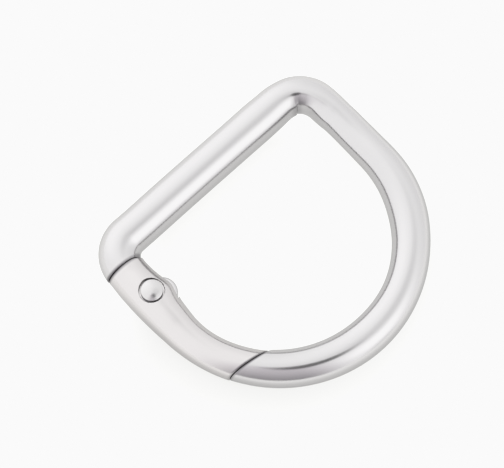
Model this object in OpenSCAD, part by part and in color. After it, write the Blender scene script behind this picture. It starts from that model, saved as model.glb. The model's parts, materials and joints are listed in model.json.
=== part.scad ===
// D-shaped spring gate ring: a cast ring of round wire whose fifth side is a hinged gate.
// The ring lies flat, its straight bar along X and its arc towards +Y, and the gate is on the +X side.
// The gate turns inwards about the rivet, counter-clockwise seen from above.

/* [Ring outline] */
// Distance from the middle of the ring to the centre line of each leg, also the radius of the arc
leg_x = 15; // [13:0.5:18]
// Distance from the centre line of the bar to the centre of the arc
arc_centre_y = 11.8; // [11:0.1:14]
// Bend radius of the far corner, on the centre line of the wire
far_corner_r = 3.8; // [3:0.1:4.2]
// Bend radius of the hinge corner, on the centre line of the wire
hinge_corner_r = 3.2; // [3:0.1:4]

/* [Wire diameters] */
// Diameter of the bar and of the corner next to the hinge
bar_d = 4.7; // [4.2:0.02:5]
// Diameter of the far corner, between the bar and the plain leg
far_corner_d = 4.3; // [4:0.02:4.6]
// Diameter of the plain leg
leg_d = 4; // [3.6:0.02:4.2]
// Diameter of the frame's arc
arc_d = 4.3; // [4:0.02:4.6]
// Diameter of the gate's arc
gate_arc_d = 4.16; // [4:0.02:4.4]
// Diameter of the gate at its heel, against the shoulder
heel_d = 4.66; // [4.4:0.02:4.8]
// Diameter of the gate round the rivet
hinge_d = 4.84; // [4.7:0.02:5]

/* [Gate ends] */
// Where the heel seam crosses the centre line of the gate's leg
heel_y = 2.7; // [2.4:0.05:2.9]
// Where the nose seam crosses the wire, measured along Y
nose_y = 20.4; // [19.5:0.1:21]
// Width of the open line at each seam
seam_gap = 0.2; // [0.1:0.02:0.3]
// Turn of both seams away from the direction of the bar, in degrees
seam_slant = 4.5; // [0:0.5:6]

/* [Hinge] */
// Distance of the rivet's axis from the middle of the ring
pin_x = 14.65; // [14.5:0.05:15]
// Distance of the rivet's axis from the centre line of the bar
pin_y = 7.05; // [6.9:0.05:7.6]
// Diameter of the rivet's shank
pin_d = 1.6; // [1.2:0.1:1.8]
// Radial clearance of the frame's tongue round the shank
bore_clearance = 0.06; // [0.03:0.01:0.1]
// Radial clearance of the gate's cheeks round the shank
cheek_clearance = 0.02; // [0.01:0.01:0.04]
// Thickness of the frame's tongue
tongue_t = 1.9; // [1.6:0.1:2.1]
// Gap between the tongue and each cheek, and behind its eye
tongue_gap = 0.1; // [0.08:0.01:0.15]
// Width of the tongue's eye, which reaches from the rivet to its rounded end
eye_d = 3.5; // [3.2:0.1:3.6]
// How far the middle of the rounded end lies inwards of the rivet's axis, so that it stands out of the gate
eye_in = 0.95; // [0.7:0.05:1.05]
// How far the middle of the rounded end lies from the rivet's axis towards the arc
eye_up = 0.6; // [0.3:0.05:1.1]
// Width of the tongue's neck between the shoulder and the eye
neck_w = 3.3; // [3:0.1:3.4]

/* [Rivet heads] */
// Diameter of each head
head_d = 2.5; // [2.3:0.1:3]
// Height of a head's straight edge
head_edge = 0.49; // [0.3:0.01:0.5]
// Height of the dome on a head
head_dome = 0.29; // [0.2:0.01:0.4]
// Height of the spot faces above and below the middle plane
spot_z = 1.75; // [1.7:0.05:1.8]
// Gap round and under each head
head_gap = 0.02; // [0.01:0.01:0.04]
// Extra diameter of the spot face beyond the head
spot_rim = 0.4; // [0.2:0.05:0.4]

/* [Hidden] */
$fn = 96;

// Length of the tapers in the wire, and half the length of the gate's thickest stretch
bar_taper_len = 2;
leg_taper_len = 2.4;
swell_half = 1.4;

// Room for cutting blocks past the wire
past = 6;

// Where the nose seam crosses the centre line of the arc, and how far round the gate's wire is drawn
nose_x = sqrt(leg_x * leg_x - (nose_y - arc_centre_y) * (nose_y - arc_centre_y));
gate_sweep = 50;

// Where the straight bar ends and the two corners begin
far_corner_x = far_corner_r - leg_x;
hinge_corner_x = leg_x - hinge_corner_r;

// The hinge: how far the round heel reaches from the rivet, and the size of the slot round the tongue
heel_r = (pin_y - heel_y - seam_gap / 2) * cos(seam_slant);
slot_t = tongue_t + 2 * tongue_gap;
slot_flat = eye_d / 2 + tongue_gap;
slot_r = norm([eye_in, eye_up]) + eye_d / 2 + tongue_gap;
spot_d = head_d + spot_rim;

// Middle of the ring's outline, and height of the wire's middle plane over the lowest rivet head
mid_x = (hinge_d - max(far_corner_d, arc_d)) / 4;
mid_y = (arc_centre_y + leg_x + (arc_d - bar_d) / 2) / 2;
mid_z = spot_z + head_gap + head_edge + head_dome;

// A straight stretch of wire along +Y
module wire_y(x, y_from, y_to, d_from, d_to) {
    translate([x, y_from, 0])
        rotate([-90, 0, 0])
            cylinder(h = y_to - y_from, d1 = d_from, d2 = d_to);
}

// A straight stretch of wire along +X
module wire_x(x_from, x_to, d_from, d_to) {
    translate([x_from, 0, 0])
        rotate([0, 90, 0])
            cylinder(h = x_to - x_from, d1 = d_from, d2 = d_to);
}

// A bend of wire about a point of the middle plane
module wire_bend(x, y, bend_r, d, start, sweep) {
    translate([x, y, 0])
        rotate([0, 0, start])
            rotate_extrude(angle = sweep)
                translate([bend_r, 0])
                    circle(d = d);
}

// A block on one side of a slanted seam: side 1 lies towards the arc, side -1 towards the bar
module seam_block(x, y, side) {
    translate([x, y, 0])
        rotate([0, 0, -seam_slant])
            translate([-past, side > 0 ? 0 : -2 * past, -past])
                cube([2 * past, 2 * past, 2 * past]);
}

// Seen from above, with the rivet's axis at the origin
module tongue_outline() {
    circle(d = eye_d);
    translate([-eye_in, eye_up])
        circle(d = eye_d);
    rotate(atan2(eye_up, -eye_in))
        translate([0, -eye_d / 2])
            square([norm([eye_in, eye_up]), eye_d]);
    translate([eye_d / 2 - neck_w, hinge_corner_r / 2 - pin_y])
        square([neck_w, pin_y - hinge_corner_r / 2]);
}

// The slot is open at the heel and on the inside, and closed along the gate's back
module slot_outline() {
    intersection() {
        circle(r = slot_r);
        translate([-past, -past])
            square([past + slot_flat, 2 * past]);
    }
    translate([-past, -past])
        square([past + slot_flat, past]);
}

// The gate's inner heel corner is round about the rivet, so that it can turn
module heel_relief() {
    linear_extrude(2 * past, center = true)
        difference() {
            translate([-past, -past])
                square([past, past]);
            circle(r = heel_r);
        }
}

// The shoulder is flat outside the rivet and hollow inside it, where the gate's round heel turns
module hinge_corner() {
    difference() {
        wire_bend(hinge_corner_x, hinge_corner_r, hinge_corner_r, bar_d, -90, 90);
        intersection() {
            seam_block(leg_x, heel_y - seam_gap / 2, 1);
            translate([pin_x, -past, -past])
                cube([2 * past, 4 * past, 2 * past]);
        }
        translate([pin_x, pin_y, 0])
            cylinder(h = 2 * past, r = heel_r + seam_gap, center = true);
    }
}

module far_corner_and_leg() {
    wire_bend(far_corner_x, far_corner_r, far_corner_r, far_corner_d, 180, 90);
    wire_y(-leg_x, far_corner_r, far_corner_r + leg_taper_len, far_corner_d, leg_d);
    wire_y(-leg_x, far_corner_r + leg_taper_len, arc_centre_y - leg_taper_len, leg_d, leg_d);
    wire_y(-leg_x, arc_centre_y - leg_taper_len, arc_centre_y, leg_d, arc_d);
}

module frame_arc() {
    difference() {
        wire_bend(0, arc_centre_y, leg_x, arc_d, 0, 180);
        seam_block(nose_x, nose_y + seam_gap / 2, -1);
    }
}

module tongue() {
    difference() {
        translate([pin_x, pin_y, 0])
            linear_extrude(tongue_t, center = true)
                tongue_outline();
        translate([pin_x, pin_y, 0])
            cylinder(h = 2 * tongue_t, d = pin_d + 2 * bore_clearance, center = true);
    }
}

module frame() {
    color("silver") {
        wire_x(far_corner_x, far_corner_x + bar_taper_len, far_corner_d, bar_d);
        wire_x(far_corner_x + bar_taper_len, hinge_corner_x, bar_d, bar_d);
        hinge_corner();
        far_corner_and_leg();
        frame_arc();
        tongue();
    }
}

module gate_wire() {
    wire_y(leg_x, heel_y, pin_y - swell_half, heel_d, hinge_d);
    wire_y(leg_x, pin_y - swell_half, pin_y + swell_half, hinge_d, hinge_d);
    wire_y(leg_x, pin_y + swell_half, arc_centre_y, hinge_d, gate_arc_d);
    wire_bend(0, arc_centre_y, leg_x, gate_arc_d, 0, gate_sweep);
}

module gate() {
    color("gainsboro")
        difference() {
            gate_wire();
            seam_block(leg_x, heel_y + seam_gap / 2, -1);
            seam_block(nose_x, nose_y - seam_gap / 2, 1);
            translate([pin_x, pin_y, 0]) {
                heel_relief();
                linear_extrude(slot_t, center = true)
                    slot_outline();
                cylinder(h = 2 * past, d = pin_d + 2 * cheek_clearance, center = true);
                translate([0, 0, spot_z])
                    cylinder(h = past, d = spot_d);
                translate([0, 0, -spot_z - past])
                    cylinder(h = past, d = spot_d);
            }
        }
}

// One domed head, standing on the middle plane's upper side
module rivet_head() {
    dome_r = (head_d * head_d / 4 + head_dome * head_dome) / (2 * head_dome);
    head_h = head_edge + head_dome;
    translate([0, 0, spot_z + head_gap])
        intersection() {
            cylinder(h = head_h, d = head_d);
            translate([0, 0, head_h - dome_r])
                sphere(r = dome_r, $fn = 4 * $fn);
        }
}

module rivet() {
    shank_len = 2 * (spot_z + head_gap) + head_edge;
    color("whitesmoke")
        translate([pin_x, pin_y, 0]) {
            cylinder(h = shank_len, d = pin_d, center = true);
            rivet_head();
            mirror([0, 0, 1])
                rivet_head();
        }
}

// The ring stands on the origin, which is the middle of its outline on the surface under it
module placed() {
    translate([-mid_x, -mid_y, mid_z])
        children();
}

placed() frame();
placed() gate();
placed() rivet();
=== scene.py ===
# A D-shaped spring gate ring in polished nickel, lying flat on a light table.
import json
import math

import bpy
import numpy as np
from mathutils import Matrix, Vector


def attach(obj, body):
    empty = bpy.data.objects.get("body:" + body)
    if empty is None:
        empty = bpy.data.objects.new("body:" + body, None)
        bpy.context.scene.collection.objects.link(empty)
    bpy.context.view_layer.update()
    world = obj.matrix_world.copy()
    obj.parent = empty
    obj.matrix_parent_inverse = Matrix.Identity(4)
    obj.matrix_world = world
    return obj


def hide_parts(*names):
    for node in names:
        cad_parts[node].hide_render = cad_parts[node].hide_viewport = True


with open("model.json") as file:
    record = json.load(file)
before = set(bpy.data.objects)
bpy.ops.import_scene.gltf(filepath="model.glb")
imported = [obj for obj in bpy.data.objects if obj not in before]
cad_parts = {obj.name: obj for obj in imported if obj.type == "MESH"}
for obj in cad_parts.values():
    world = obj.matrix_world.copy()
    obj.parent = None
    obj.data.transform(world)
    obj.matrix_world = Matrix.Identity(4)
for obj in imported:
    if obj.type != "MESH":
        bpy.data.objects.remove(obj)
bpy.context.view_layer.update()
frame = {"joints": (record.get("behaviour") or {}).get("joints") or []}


# Camera.
# It looks steeply down on the ring from the side of the gate and the arc, through a long lens,
# and the straight bar rises to the right in the picture.
view_azimuth = math.radians(136.8)
view_elevation = math.radians(72.2)
view_distance = 0.300
view_centre = Vector((0.00148, -0.00394, 0.00255))
sensor_width = 36.0
picture_width = 504
pixels_per_mm = 8.916
nearest_shown = 0.01

back = Vector((
    math.sin(view_azimuth) * math.cos(view_elevation),
    -math.cos(view_azimuth) * math.cos(view_elevation),
    math.sin(view_elevation),
))
lens = bpy.data.cameras.new("photo_lens")
lens.sensor_width = sensor_width
lens.lens = sensor_width * pixels_per_mm * view_distance * 1000 / picture_width
lens.clip_start = nearest_shown
camera = bpy.data.objects.new("camera", lens)
camera.location = view_centre + view_distance * back
camera.rotation_euler = back.to_track_quat("Z", "Y").to_euler()
bpy.context.scene.collection.objects.link(camera)
bpy.context.scene.camera = camera


# Exposure.
# The table is overexposed, as it is in the photo: from a certain brightness on,
# everything comes out as the same very pale white.
paper_white = 0.956
shoulder = 0.90

look = bpy.context.scene.view_settings
look.view_transform = "Standard"
look.use_curve_mapping = True
look.curve_mapping.extend = "HORIZONTAL"
curve = look.curve_mapping.curves[3]
curve.points[1].location = (1.0, paper_white)
curve.points.new(shoulder, shoulder)
for point in curve.points:
    point.handle_type = "VECTOR"
look.curve_mapping.update()


# Table.
# A white acrylic sheet lit from below, so that the ring throws hardly any shadow on it.
# Its glow is painted by place, a painted shadow of the ring that shows in the ring's reflections: close
# round the ring it glows more beyond the bar than round the arc, and most far away.
# The tent's light adds to that.
table_half = 1.5
table_face = (0.19, 0.19, 0.187, 1)
glow_tint = (1.0, 1.0, 0.985, 1)
glow_inside = 0.88
inside_slope = 4.7
glow_far = 1.20
glow_by_arc = 0.79
glow_by_bar = 1.10
beside_slope = -3.0
arc_side = -0.002
bar_side = -0.016
arc_middle = (-0.000135, -0.0015, 0)
inside_to = 0.012
beside_at = 0.0165
far_from = 0.034

table_mesh = bpy.data.meshes.new("light_table")
table_mesh.from_pydata(
    [(-table_half, -table_half, 0), (table_half, -table_half, 0),
     (table_half, table_half, 0), (-table_half, table_half, 0)],
    [], [(0, 1, 2, 3)])
table = bpy.data.objects.new("light_table", table_mesh)
bpy.context.scene.collection.objects.link(table)

acrylic = bpy.data.materials.new("lit_acrylic")
acrylic.use_nodes = True
tree = acrylic.node_tree
shader = tree.nodes["Principled BSDF"]
shader.inputs["Base Color"].default_value = table_face
shader.inputs["Roughness"].default_value = 1.0
shader.inputs["Specular IOR Level"].default_value = 0.0
shader.inputs["Emission Color"].default_value = glow_tint


def math_node(tree, operation, *inputs):
    """Output of a math node whose inputs are numbers or other nodes' outputs."""
    node = tree.nodes.new("ShaderNodeMath")
    node.operation = operation
    for socket, value in zip(node.inputs, inputs):
        if isinstance(value, (int, float)):
            socket.default_value = value
        else:
            tree.links.new(value, socket)
    return node.outputs[0]


def faded(tree, value, full, none):
    """One where the value is at the full mark and nought at the none mark, with a soft change between."""
    share = tree.nodes.new("ShaderNodeMapRange")
    share.interpolation_type = "SMOOTHSTEP"
    share.inputs["From Min"].default_value = full
    share.inputs["From Max"].default_value = none
    share.inputs["To Min"].default_value = 1
    share.inputs["To Max"].default_value = 0
    tree.links.new(value, share.inputs["Value"])
    return share.outputs["Result"]


def blended(tree, share, base, level):
    """Base where the share is nought and level where it is one."""
    difference = math_node(tree, "SUBTRACT", level, base)
    return math_node(tree, "MULTIPLY_ADD", share, difference, base)


# Levels by place, painting the ring's shadow into the glow: a slope inside the ring, another beside it, and
# one level far away
place = tree.nodes.new("ShaderNodeTexCoord").outputs["Object"]
from_arc = tree.nodes.new("ShaderNodeVectorMath")
from_arc.operation = "DISTANCE"
from_arc.inputs[1].default_value = arc_middle
tree.links.new(place, from_arc.inputs[0])
from_arc = from_arc.outputs["Value"]
place_axes = tree.nodes.new("ShaderNodeSeparateXYZ")
tree.links.new(place, place_axes.inputs[0])
beside = blended(tree, faded(tree, place_axes.outputs["Y"], bar_side, arc_side), glow_by_arc, glow_by_bar)
beside = math_node(tree, "MULTIPLY_ADD", place_axes.outputs["X"], beside_slope, beside)
glow_with_painted_shadow = blended(tree, faded(tree, from_arc, beside_at, far_from), glow_far, beside)
inside = math_node(tree, "MULTIPLY_ADD", place_axes.outputs["Y"], inside_slope, glow_inside)
glow_with_painted_shadow = blended(tree, faded(tree, from_arc, inside_to, beside_at), glow_with_painted_shadow, inside)
tree.links.new(glow_with_painted_shadow, shader.inputs["Emission Strength"])
table_mesh.materials.append(acrylic)


# Light.
# A white tent round the ring, brighter beyond the bar and the arc, and dimmer beyond the plain leg
# and low down. On the camera's side it stands open, where the ring mirrors a dim room and, high up,
# a dark card.
tent_level = 1.60
opening_azimuth = 46.0
opening_inner = 12.0
opening_outer = 43.0
room_low = 0.455
room_rise = 0.58
room_tint = (1.0, 0.957, 1.0, 1)

# Azimuth and elevation of a patch, angles from there at which it starts to fade and ends, and its level
wall_patches = [
    (-90, 30, 12, 50, 1.80),
    (111, 35, 5, 36, 1.99),
    (178, 5, 5, 80, 1.35),
    (155, 70, 4, 27, 1.27),
    (103, 0, 4, 15, 1.30),
]
dark_card = (78, 76, 7.5, 12, 0.15)


def direction(azimuth, elevation):
    """Unit vector: azimuth from +X towards +Y, elevation above the table, both in degrees."""
    a, e = math.radians(azimuth), math.radians(elevation)
    return (math.cos(a) * math.cos(e), math.sin(a) * math.cos(e), math.sin(e))


tent = bpy.data.worlds.new("light_tent")
bpy.context.scene.world = tent
tent.use_nodes = True
tree = tent.node_tree
lamp = tree.nodes["Background"]
looked_along = tree.nodes.new("ShaderNodeTexCoord").outputs["Generated"]


def light_patch(base, azimuth, elevation, inner, outer, level):
    """The tent's brightness with a round patch of another level in one direction, all angles in degrees."""
    dot = tree.nodes.new("ShaderNodeVectorMath")
    dot.operation = "DOT_PRODUCT"
    dot.inputs[1].default_value = direction(azimuth, elevation)
    tree.links.new(looked_along, dot.inputs[0])
    angle = math_node(tree, "ARCCOSINE", dot.outputs["Value"])
    return blended(tree, faded(tree, angle, math.radians(inner), math.radians(outer)), base, level)


brightness = tent_level
for patch in wall_patches:
    brightness = light_patch(brightness, *patch)

axes = tree.nodes.new("ShaderNodeSeparateXYZ")
tree.links.new(looked_along, axes.inputs[0])
heading = math_node(tree, "ARCTAN2", axes.outputs["Y"], axes.outputs["X"])
off_opening = math_node(tree, "SUBTRACT", heading, math.radians(opening_azimuth))
off_opening = math_node(tree, "ABSOLUTE", off_opening)
opening = faded(tree, off_opening, math.radians(opening_inner), math.radians(opening_outer))
room = math_node(tree, "MULTIPLY_ADD", axes.outputs["Z"], room_rise, room_low)
brightness = blended(tree, opening, brightness, room)
brightness = light_patch(brightness, *dark_card)
tree.links.new(brightness, lamp.inputs["Strength"])

tint = tree.nodes.new("ShaderNodeValToRGB")
tint.color_ramp.elements[0].color = (1, 1, 1, 1)
tint.color_ramp.elements[1].color = room_tint
tree.links.new(opening, tint.inputs["Fac"])
tree.links.new(tint.outputs["Color"], lamp.inputs["Color"])


# Frame.
# One zinc casting, polished and nickel plated: the straight webbing bar, its two bent corners, the plain
# leg and the arc as far as the nose seam. The flat tongue with its round eye grows out of the hinge corner.
# Sizes are millimetres from the middle of the bar, and the rivet's axis sets them in the part's frame.
mm = 0.001
pin_x, pin_y = 14.65, 7.05
pin = Vector(frame["joints"][0]["pos_m"]) / mm
ring_centre = np.array((pin.x - pin_x, pin.y - pin_y))
middle_z = pin.z
leg_x = 15.0
arc_centre_y = 11.8
heel_y = 2.7
nose_x, nose_y = 12.29, 20.32
seam_gap = 0.05
heel_slope = math.tan(math.radians(4.5))
nose_slope = math.tan(math.radians(8.0))
heel_radius = (pin_y - heel_y - seam_gap / 2) * math.cos(math.atan(heel_slope))
edge_round = 0.15
around = 96
ring_step = 0.14
lip_step = 0.03
edge_shares = (0.2, 0.4, 0.6, 0.8, 1.0)
face_shares = (0.15, 0.3, 0.45, 0.6, 0.8)
halvings = 40


def to_part(points):
    """From millimetres about the middle of the bar to metres in the part's frame."""
    moved = np.array(points, float)
    moved[:, :2] += ring_centre
    moved[:, 2] += middle_z
    return moved * mm


def smooth_between(x, stations, values):
    """Smooth curve through the values at the stations, read at x."""
    stations, values = np.array(stations, float), np.array(values, float)
    x = np.clip(x, stations[0], stations[-1])
    i = np.clip(np.searchsorted(stations, x, side="right") - 1, 0, len(stations) - 2)
    width = stations[i + 1] - stations[i]
    t = (x - stations[i]) / width
    slope = np.gradient(values, stations)
    return (
        values[i] * (1 + 2 * t) * (1 - t) ** 2 + values[i + 1] * t * t * (3 - 2 * t)
        + slope[i] * width * t * (1 - t) ** 2 - slope[i + 1] * width * t * t * (1 - t))


def bend_reach(bends):
    """How far forward and sideways a chain of bends goes, each given as degrees and radius."""
    heading, forward, sideways = 0.0, 0.0, 0.0
    for degrees, radius in bends:
        after = heading + math.radians(degrees)
        forward += radius * (math.sin(after) - math.sin(heading))
        sideways += radius * (math.cos(heading) - math.cos(after))
        heading = after
    return forward, sideways


# The centre line from the hinge corner round to the nose. A bend is given as degrees and radius, and a
# straight stretch as nought and its length. The far corner is a tight fold between two slower bends.
hinge_stub = 0.55
hinge_bend = (90, 2.85)
hinge_x = 14.75
far_bends = [(20, 6.5), (40, 2.2), (30, 9.0)]
far_forward, far_up = bend_reach(far_bends)
bar_length = (hinge_x - hinge_bend[1]) - (far_forward - leg_x)
leg_length = arc_centre_y - far_up
arc_sweep = 165
runs = [(0, hinge_stub), hinge_bend, (0, bar_length), *far_bends, (0, leg_length), (arc_sweep, leg_x)]

run_start = [0.0]
run_heading = [-math.pi / 2]
run_bend = []
run_from = [(hinge_x, hinge_bend[1] + hinge_stub)]
for degrees, size in runs:
    before, (x, y) = run_heading[-1], run_from[-1]
    after = before - math.radians(degrees)
    if degrees:
        run_bend.append(-1 / size)
        run_start.append(run_start[-1] + size * math.radians(degrees))
        x -= size * (math.sin(after) - math.sin(before))
        y += size * (math.cos(after) - math.cos(before))
    else:
        run_bend.append(0.0)
        run_start.append(run_start[-1] + size)
        x += size * math.cos(before)
        y += size * math.sin(before)
    run_heading.append(after)
    run_from.append((x, y))
bar_start, bar_end, fold_start, fold_end, leg_start, arc_start, wire_end = run_start[2:]


def arc_at(degrees):
    """Distance along the wire to a place on the arc, in degrees from +X about the arc's centre."""
    return arc_start + leg_x * math.radians(180 - degrees)


# Distance along the wire, outer half width, inner half width and half height
girth = np.array([
    (0, 2.44, 1.80, 2.38),
    (0.6, 2.44, 2.15, 2.38),
    (2.0, 2.42, 2.36, 2.37),
    (bar_start + 1.0, 2.33, 2.40, 2.36),
    (bar_start + 6.0, 2.37, 2.37, 2.35),
    (bar_end - 5.0, 2.37, 2.37, 2.35),
    (bar_end - 2.0, 2.38, 2.38, 2.34),
    (bar_end - 0.8, 2.33, 2.36, 2.33),
    (bar_end + 0.8, 2.31, 2.28, 2.33),
    (fold_start - 0.8, 2.30, 2.21, 2.33),
    (fold_start, 2.32, 2.16, 2.32),
    (fold_start + 0.75, 2.35, 2.11, 2.32),
    (fold_end, 2.48, 1.92, 2.31),
    (fold_end + 0.8, 2.56, 1.77, 2.28),
    (fold_end + 1.6, 2.51, 1.80, 2.24),
    (fold_end + 2.4, 2.35, 1.95, 2.18),
    (fold_end + 3.2, 2.20, 2.06, 2.11),
    (fold_end + 4.0, 2.08, 2.09, 2.05),
    (leg_start, 2.05, 2.04, 1.99),
    (leg_start + 1.0, 2.09, 2.01, 1.92),
    (leg_start + 2.0, 2.08, 2.02, 1.87),
    (arc_start - 2.4, 2.08, 2.04, 1.87),
    (arc_start, 2.06, 2.10, 2.00),
    (arc_at(166), 2.20, 2.18, 2.10),
    (arc_at(150), 2.24, 2.26, 2.12),
    (arc_at(135), 2.16, 2.19, 2.12),
    (arc_at(115), 2.18, 2.13, 2.12),
    (arc_at(90), 2.23, 2.26, 2.17),
    (arc_at(60), 2.15, 2.22, 2.15),
    (arc_at(34), 2.04, 2.10, 2.07),
])


def frame_wire(s):
    """Centre, outward direction and the three half widths of the frame's wire at distance s along it."""
    s = np.asarray(s, float)
    i = np.clip(np.searchsorted(run_start, s, side="right") - 1, 0, len(run_bend) - 1)
    start, bend, before = np.take(run_start, i), np.take(run_bend, i), np.take(run_heading, i)
    heading = before + bend * (s - start)
    ahead = np.stack([np.cos(heading), np.sin(heading)], -1)
    turned = np.stack([np.sin(heading) - np.sin(before), np.cos(before) - np.cos(heading)], -1)
    curved = turned / np.where(bend == 0, 1, bend)[..., None]
    moved = np.where((bend == 0)[..., None], (s - start)[..., None] * ahead, curved)
    outward = np.stack([-ahead[..., 1], ahead[..., 0]], -1)
    widths = [smooth_between(s, girth[:, 0], girth[:, k]) for k in (1, 2, 3)]
    return np.array(run_from)[i] + moved, outward, *widths


def wire_points(s, psi):
    """Points on the frame's skin at distances s and at angles psi, from the outside over the top."""
    centre, outward, outer, inner, up = frame_wire(s)
    across = np.where(np.cos(psi) > 0, outer, inner) * np.cos(psi)
    return np.concatenate([centre + across[..., None] * outward, (up * np.sin(psi))[..., None]], -1)


def heel_face(x):
    """Where the shoulder ends: flat outside the rivet, and hollow inside it, round the gate's heel."""
    flat = heel_y - (x - leg_x) * heel_slope - seam_gap / 2
    hollow = pin_y - np.sqrt(np.maximum((heel_radius + seam_gap) ** 2 - (x - pin_x) ** 2, 0))
    return np.where(x < pin_x, hollow, np.minimum(flat, hollow))


def nose_face(x):
    """Where the frame's nose ends."""
    return nose_y - (x - nose_x) * nose_slope + seam_gap / 2


def cut_place(psi, near, far, face, side, inset):
    """Distance along the wire at which its skin at angle psi comes within inset of an end face."""
    near, far = np.full_like(psi, near), np.full_like(psi, far)
    for _ in range(halvings):
        middle = (near + far) / 2
        points = wire_points(middle, psi)
        inside = side * (points[:, 1] - face(points[:, 0])) + inset < 0
        near, far = np.where(inside, middle, near), np.where(inside, far, middle)
    return (near + far) / 2


def end_cap(psi, middle, limit, face, side):
    """Rings that round a wire's edge and close its end, from the skin to the middle of the end face."""
    edge = wire_points(cut_place(psi, middle, limit, face, side, edge_round), psi)
    corner = wire_points(cut_place(psi, middle, limit, face, side, 0), psi)
    hub = corner.mean(0)
    inward = hub - corner
    inward /= np.linalg.norm(inward, axis=1)[:, None]

    def on_face(ring):
        ring[:, 1] = face(ring[:, 0])
        return ring

    flat = on_face(corner + inward * edge_round)
    rings = [(1 - t) ** 2 * edge + 2 * t * (1 - t) * corner + t * t * flat for t in edge_shares]
    rings.append(on_face(corner + inward * (edge_round + lip_step)))
    for share in face_shares:
        rings.append(on_face(flat + (hub - flat) * share))
    return rings, on_face(hub[None].copy())


def swept_wire(span, ends):
    """Vertices and faces of the frame's wire between two end faces, each given as a function and a side."""
    psi = np.linspace(0, 2 * math.pi, around, endpoint=False)
    middle = sum(span) / 2
    starts, stops = (
        cut_place(psi, middle, limit, face, side, edge_round) for limit, (face, side) in zip(span, ends))
    steps = int((span[1] - span[0]) / ring_step)
    rings = [wire_points(starts + (stops - starts) * i / steps, psi) for i in range(steps + 1)]
    (first, first_hub), (last, last_hub) = (
        end_cap(psi, middle, limit, face, side) for limit, (face, side) in zip(span, ends))
    rings = first[::-1] + rings + last
    count = len(rings)
    faces = []
    for j in range(around):
        k = (j + 1) % around
        for i in range(count - 1):
            faces.append((i * around + j, i * around + k, (i + 1) * around + k, (i + 1) * around + j))
        faces.append((count * around, k, j))
        faces.append((count * around + 1, (count - 1) * around + j, (count - 1) * around + k))
    return np.concatenate(rings + [first_hub, last_hub]), faces


def rounded_overlap(a, b, radius):
    """Distance to what two shapes share, with the edge between them rounded."""
    a, b = a + radius, b + radius
    return np.minimum(np.maximum(a, b), 0) + np.hypot(np.maximum(a, 0), np.maximum(b, 0)) - radius


def skin_of(distance, low, high, cell):
    """Vertices, quads and normals of the surface where distance is nought, on a grid of the given cell."""
    axes = [np.arange(lo, hi + cell, cell) for lo, hi in zip(low, high)]
    grid = np.stack(np.meshgrid(*axes, indexing="ij"), -1)
    value = distance(grid)
    shape = np.array(value.shape) - 1
    total = np.zeros((*shape, 3))
    hits = np.zeros(shape, int)
    for axis in range(3):
        others = [a for a in range(3) if a != axis]
        for u in (0, 1):
            for v in (0, 1):
                first = [slice(0, -1)] * 3
                first[others[0]] = slice(u, u + shape[others[0]])
                first[others[1]] = slice(v, v + shape[others[1]])
                second = list(first)
                second[axis] = slice(1, None)
                a, b = value[tuple(first)], value[tuple(second)]
                crossed = (a < 0) != (b < 0)
                t = np.where(crossed, a / np.where(crossed, a - b, 1), 0)
                point = grid[tuple(first)] + t[..., None] * (grid[tuple(second)] - grid[tuple(first)])
                total += np.where(crossed[..., None], point, 0)
                hits += crossed
    used = hits > 0
    number = np.full(shape, -1)
    number[used] = np.arange(used.sum())
    vertices = total[used] / hits[used][:, None]
    quads = []
    for axis in range(3):
        u, v = (axis + 1) % 3, (axis + 2) % 3
        a = value[tuple(slice(0, -1) if k == axis else slice(1, -1) for k in range(3))]
        b = value[tuple(slice(1, None) if k == axis else slice(1, -1) for k in range(3))]
        for inside_first in (True, False):
            edges = np.argwhere((a < 0) & (b >= 0) if inside_first else (a >= 0) & (b < 0))
            corner = edges.copy()
            corner[:, u] += 1
            corner[:, v] += 1
            ring = []
            for du, dv in ((0, 0), (-1, 0), (-1, -1), (0, -1)):
                c = corner.copy()
                c[:, u] += du
                c[:, v] += dv
                ring.append(number[tuple(c.T)])
            quad = np.stack(ring, -1)
            quads.append(quad if inside_first else quad[:, ::-1])
    quads = np.concatenate(quads)
    step = cell / 50
    pulls, least_slope = 4, 0.2

    def gradient(p):
        shifts = np.eye(3) * step
        return np.stack([(distance(p + d) - distance(p - d)) / (2 * step) for d in shifts], -1)

    for _ in range(pulls):
        slope = gradient(vertices)
        off = distance(vertices) / np.maximum((slope ** 2).sum(-1), least_slope)
        vertices = vertices - np.clip(off, -cell, cell)[:, None] * slope
    normals = gradient(vertices)
    normals /= np.linalg.norm(normals, axis=1)[:, None]
    return vertices, quads, normals


def new_piece(name, vertices, faces, normals=None):
    """A smooth-shaded object from points in the part's frame."""
    mesh = bpy.data.meshes.new(name)
    mesh.from_pydata([tuple(v) for v in vertices], [], faces)
    mesh.update()
    mesh.shade_smooth()
    if normals is not None:
        mesh.normals_split_custom_set_from_vertices(normals)
    piece = bpy.data.objects.new(name, mesh)
    bpy.context.scene.collection.objects.link(piece)
    return piece


frame_vertices, frame_faces = swept_wire((0.0, wire_end), [(heel_face, 1), (nose_face, -1)])
frame_casting = new_piece("frame_casting", to_part(frame_vertices), frame_faces)

tongue_half = 0.95
eye_radius = 1.75
eye_in, eye_up = 0.95, 0.6
neck_half = 1.65
neck_root = 1.6 - pin_y
rim_round = 0.3
tongue_cell = 0.08
tongue_from = (pin_x - 3.0, 1.4, -1.2)
tongue_to = (pin_x + 2.0, 10.0, 1.2)


def tongue_distance(p):
    """Distance of points from the tongue's skin, below nought inside it."""
    x, y, z = p[..., 0] - pin_x, p[..., 1] - pin_y, p[..., 2]
    along_eye = np.clip((y * eye_up - x * eye_in) / (eye_in ** 2 + eye_up ** 2), 0, 1)
    eye = np.hypot(x + eye_in * along_eye, y - eye_up * along_eye) - eye_radius
    beside_neck = np.abs(x - eye_radius + neck_half) - neck_half
    past_neck = np.abs(y - neck_root / 2) + neck_root / 2
    neck = np.maximum(beside_neck, past_neck)
    return rounded_overlap(np.minimum(eye, neck), np.abs(z) - tongue_half, rim_round)


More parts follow.
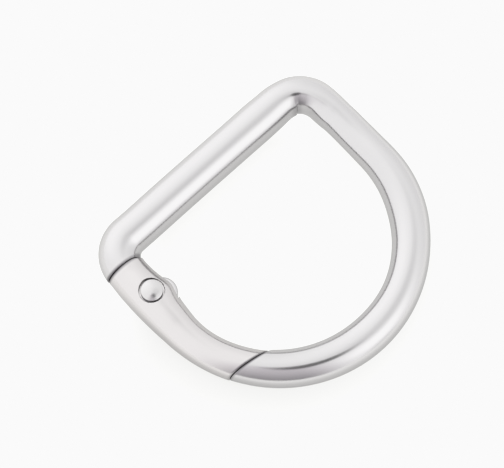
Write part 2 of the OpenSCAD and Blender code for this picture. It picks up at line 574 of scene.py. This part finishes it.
tongue_vertices, tongue_quads, tongue_normals = skin_of(
    tongue_distance, tongue_from, tongue_to, tongue_cell)
tongue = new_piece("tongue", to_part(tongue_vertices), tongue_quads.tolist(), tongue_normals)

frame_colour = (0.493, 0.486, 0.490)
casting_haze = (0.15, 0.21)
edge_shine = 0.75
haze_scale = 300
haze_detail = 3
# Painted shade: the dark colour laid into the seams, the far corner's fold and round the rivet heads
painted_shade_colour = (0.13, 0.122, 0.13, 1)
# How far the painted shade reaches from the seams and the fold's crease, in millimetres, and how dark it is
# in the fold
heel_lips = (0.10, 0.46)
nose_lips = (0.06, 0.34)
fold_sides = (0.1, 0.9)
fold_shade_strength = 0.38
crease_reach = (2.0, 3.2)


def nickel(name, colour, seed, haziness):
    """Bright nickel plate, a little hazy from polishing and duller where it is seen aslant."""
    metal = bpy.data.materials.new(name)
    metal.use_nodes = True
    tree = metal.node_tree
    shader = tree.nodes["Principled BSDF"]
    shader.inputs["Metallic"].default_value = 1.0
    shader.inputs["Base Color"].default_value = (*colour, 1)
    shader.inputs["Specular Tint"].default_value = (edge_shine, edge_shine, edge_shine, 1)
    haze = tree.nodes.new("ShaderNodeTexNoise")
    haze.noise_dimensions = "4D"
    haze.inputs["W"].default_value = seed
    haze.inputs["Scale"].default_value = haze_scale
    haze.inputs["Detail"].default_value = haze_detail
    tree.links.new(tree.nodes.new("ShaderNodeTexCoord").outputs["Object"], haze.inputs["Vector"])
    dull = tree.nodes.new("ShaderNodeMapRange")
    dull.inputs["To Min"].default_value = haziness[0]
    dull.inputs["To Max"].default_value = haziness[1]
    tree.links.new(haze.outputs["Fac"], dull.inputs["Value"])
    tree.links.new(dull.outputs["Result"], shader.inputs["Roughness"])
    return metal


def crease_share(tree, x, y, across, full, none):
    """One on the upright plane through (x, y) square to the across direction, nought away from it."""
    off_plane = tree.nodes.new("ShaderNodeVectorMath")
    off_plane.operation = "DOT_PRODUCT"
    off_plane.inputs[1].default_value = Vector(across).normalized()
    from_middle = tree.nodes.new("ShaderNodeVectorMath")
    from_middle.operation = "SUBTRACT"
    from_middle.inputs[1].default_value = to_part([(x, y, 0)])[0]
    tree.links.new(tree.nodes.new("ShaderNodeTexCoord").outputs["Object"], from_middle.inputs[0])
    tree.links.new(from_middle.outputs["Vector"], off_plane.inputs[0])
    reach = tree.nodes.new("ShaderNodeVectorMath")
    reach.operation = "LENGTH"
    tree.links.new(from_middle.outputs["Vector"], reach.inputs[0])
    near = faded(tree, reach.outputs["Value"], crease_reach[0] * mm, crease_reach[1] * mm)
    lips = faded(tree, math_node(tree, "ABSOLUTE", off_plane.outputs["Value"]), full * mm, none * mm)
    return math_node(tree, "MULTIPLY", near, lips)


def seams_share(tree):
    """One on the lips of both slanted seams, nought away from them."""
    heel_seam = crease_share(tree, leg_x, heel_y, (heel_slope, 1, 0), *heel_lips)
    nose_seam = crease_share(tree, nose_x, nose_y, (nose_slope, 1, 0), *nose_lips)
    return math_node(tree, "MAXIMUM", heel_seam, nose_seam)


def paint_shade(metal, share):
    """Paints the share of a metal dark: painted shade for seams, corners and edges where shade falls."""
    tree = metal.node_tree
    shader = tree.nodes["Principled BSDF"]
    unshaded_colour = shader.inputs["Base Color"].default_value
    colour = tree.nodes.new("ShaderNodeValToRGB")
    colour.color_ramp.elements[0].color = unshaded_colour
    colour.color_ramp.elements[1].color = painted_shade_colour
    tree.links.new(share, colour.inputs["Fac"])
    tree.links.new(colour.outputs["Color"], shader.inputs["Base Color"])


# Painted shade lies dark along both seams and, fainter, on the inner side of the far corner's fold
frame_nickel = nickel("frame_nickel", frame_colour, 1, casting_haze)
tree = frame_nickel.node_tree
fold_centre, fold_outward, _, fold_inner, _ = frame_wire((fold_start + fold_end) / 2)
fold_x, fold_y = fold_centre - fold_inner * fold_outward
fold = crease_share(tree, fold_x, fold_y, (-fold_outward[1], fold_outward[0], 0), *fold_sides)
fold = math_node(tree, "MULTIPLY", fold, fold_shade_strength)
paint_shade(frame_nickel, math_node(tree, "MAXIMUM", seams_share(tree), fold))
for piece in (frame_casting, tongue):
    piece.data.materials.append(frame_nickel)
    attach(piece, "frame")
    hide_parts("frame")


# Gate.
# The second zinc casting, plated like the frame. It is thickest round the rivet and slotted on its inner
# side, so that two cheeks straddle the tongue, each with a flat seat for a rivet head. Its heel is round
# about the rivet, so that it can turn.
slot_half = 1.05
slot_play = 0.1
slot_flat = eye_radius + slot_play
slot_radius = math.hypot(eye_in, eye_up) + eye_radius + slot_play
seat_z = 1.75
seat_radius = 1.45
cheek_bulge = 0.42
cheek_y = 7.65
cheek_reach = 1.3
slot_round = 0.10
seat_round = 0.05
gate_colour = (0.520, 0.505, 0.505)
gate_cell = 0.08
gate_from = (9.0, 2.0, -2.7)
gate_to = (17.8, 21.2, 2.7)

# Distance along the gate's wire from the bar, and how far its axis lies from the middle of the ring
gate_axis = np.array([
    (2.6, 14.72),
    (4.2, 14.87),
    (6.0, 14.90),
    (8.0, 14.97),
    (11.0, 15.04),
    (21.5, 15.05),
])

# Distance along the gate's wire from the bar, and half its thickness
gate_girth = np.array([
    (2.6, 2.41),
    (3.9, 2.40),
    (4.9, 2.44),
    (5.9, 2.47),
    (7.9, 2.43),
    (8.9, 2.38),
    (9.9, 2.32),
    (10.9, 2.24),
    (11.9, 2.15),
    (13.0, 2.09),
    (21.5, 2.06),
])


def gate_distance(p):
    """Distance of points from the gate's skin, below nought inside it."""
    x, y, z = p[..., 0], p[..., 1], p[..., 2]
    above = y > arc_centre_y
    turn = np.arctan2(y - arc_centre_y, x)
    reach = np.where(above, np.hypot(x, y - arc_centre_y), x)
    along = np.where(above, arc_centre_y + leg_x * turn, y)
    axis = smooth_between(along, gate_axis[:, 0], gate_axis[:, 1])
    radius = smooth_between(along, gate_girth[:, 0], gate_girth[:, 1])
    off_axis = np.hypot(reach - axis, z)
    inner_share = np.clip((axis - reach) / np.maximum(off_axis, 1e-6), 0, 1) ** 2
    bulge = cheek_bulge * np.exp(-((y - cheek_y) / cheek_reach) ** 2) * inner_share
    wire = off_axis - radius - bulge

    from_pin_x, from_pin_y = x - pin_x, y - pin_y
    pin_distance = np.hypot(from_pin_x, from_pin_y)
    heel = (heel_y - (x - leg_x) * heel_slope + seam_gap / 2 - y) * math.cos(math.atan(heel_slope))
    nose = (y - nose_y + (x - nose_x) * nose_slope + seam_gap / 2) * math.cos(math.atan(nose_slope))
    heel_side = (from_pin_x < 0) & (from_pin_y < 0)
    heel = np.where(heel_side, np.maximum(heel, pin_distance - heel_radius), heel)

    # The slot is round beyond the rivet and runs out at the heel
    slot_end = np.where(from_pin_y > 0, pin_distance - slot_radius, -slot_radius)
    slot = np.maximum(np.maximum(slot_end, from_pin_x - slot_flat), np.abs(z) - slot_half)
    seat = np.maximum(pin_distance - seat_radius, seat_z - np.abs(z))

    shape = rounded_overlap(wire, heel, edge_round)
    shape = rounded_overlap(shape, nose, edge_round)
    shape = rounded_overlap(shape, -slot, slot_round)
    return rounded_overlap(shape, -seat, seat_round)


gate_vertices, gate_quads, gate_normals = skin_of(gate_distance, gate_from, gate_to, gate_cell)
gate_casting = new_piece("gate_casting", to_part(gate_vertices), gate_quads.tolist(), gate_normals)
gate_nickel = nickel("gate_nickel", gate_colour, 2, casting_haze)
# Painted shade along the lips of the gate's seams
paint_shade(gate_nickel, seams_share(gate_nickel.node_tree))
gate_casting.data.materials.append(gate_nickel)
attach(gate_casting, "gate")
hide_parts("gate")


# Rivet.
# A plated steel pin with two low domed heads, set in the gate's cheeks and turning in the tongue's bore.
# The heads stand a little proud of the wire, and painted shade lies dark round their edges.
head_radius = 1.25
head_base = 1.77
head_edge = 0.49
head_dome = 0.29
head_round = 0.07
shank_radius = 0.8
round_steps = 5
dome_steps = 16
rivet_around = 96
rivet_colour = (0.499, 0.491, 0.492)
head_haze = (0.20, 0.28)
dark_below, unshaded_above = 2.19, 2.29

dome_radius = (head_radius ** 2 + head_dome ** 2) / (2 * head_dome)
head_top = head_base + head_edge + head_dome
profile = [(shank_radius, 0.0), (shank_radius, head_base), (head_radius - head_round, head_base)]
for angle in np.linspace(-90, 0, round_steps)[1:]:
    profile.append((
        head_radius - head_round + head_round * math.cos(math.radians(angle)),
        head_base + head_round + head_round * math.sin(math.radians(angle))))
dome_from = math.asin((head_radius - head_round) / dome_radius)
shoulder_z = head_top - dome_radius + dome_radius * math.cos(dome_from)
for angle in np.linspace(0, 90 - math.degrees(dome_from), round_steps):
    profile.append((
        head_radius - head_round + head_round * math.cos(math.radians(angle)),
        shoulder_z - head_round * math.cos(dome_from) + head_round * math.sin(math.radians(angle))))
for angle in np.linspace(dome_from, 0, dome_steps)[1:-1]:
    profile.append((dome_radius * math.sin(angle), head_top - dome_radius + dome_radius * math.cos(angle)))

rivet_vertices = []
whole = [(r, -z) for r, z in profile[:0:-1]] + profile[1:]
for r, z in whole:
    for j in range(rivet_around):
        a = 2 * math.pi * j / rivet_around
        rivet_vertices.append((pin_x + r * math.cos(a), pin_y + r * math.sin(a), z))
rivet_faces = []
for i in range(len(whole) - 1):
    near, far = i * rivet_around, (i + 1) * rivet_around
    for j in range(rivet_around):
        k = (j + 1) % rivet_around
        rivet_faces.append((near + j, near + k, far + k, far + j))
for z in (-head_top, head_top):
    rivet_vertices.append((pin_x, pin_y, z))
last = (len(whole) - 1) * rivet_around
for j in range(rivet_around):
    k = (j + 1) % rivet_around
    rivet_faces.append((len(rivet_vertices) - 2, k, j))
    rivet_faces.append((len(rivet_vertices) - 1, last + j, last + k))
rivet = new_piece("hinge_rivet", to_part(rivet_vertices), rivet_faces)
rivet_nickel = nickel("rivet_nickel", rivet_colour, 3, head_haze)
tree = rivet_nickel.node_tree
height = tree.nodes.new("ShaderNodeSeparateXYZ")
tree.links.new(tree.nodes.new("ShaderNodeTexCoord").outputs["Object"], height.inputs[0])
off_middle = math_node(tree, "ABSOLUTE", math_node(tree, "SUBTRACT", height.outputs["Z"], middle_z * mm))
# Painted shade on the heads' sides and round their edges, close to the wire
paint_shade(rivet_nickel, faded(tree, off_middle, dark_below * mm, unshaded_above * mm))
rivet.data.materials.append(rivet_nickel)
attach(rivet, "gate")
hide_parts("rivet")
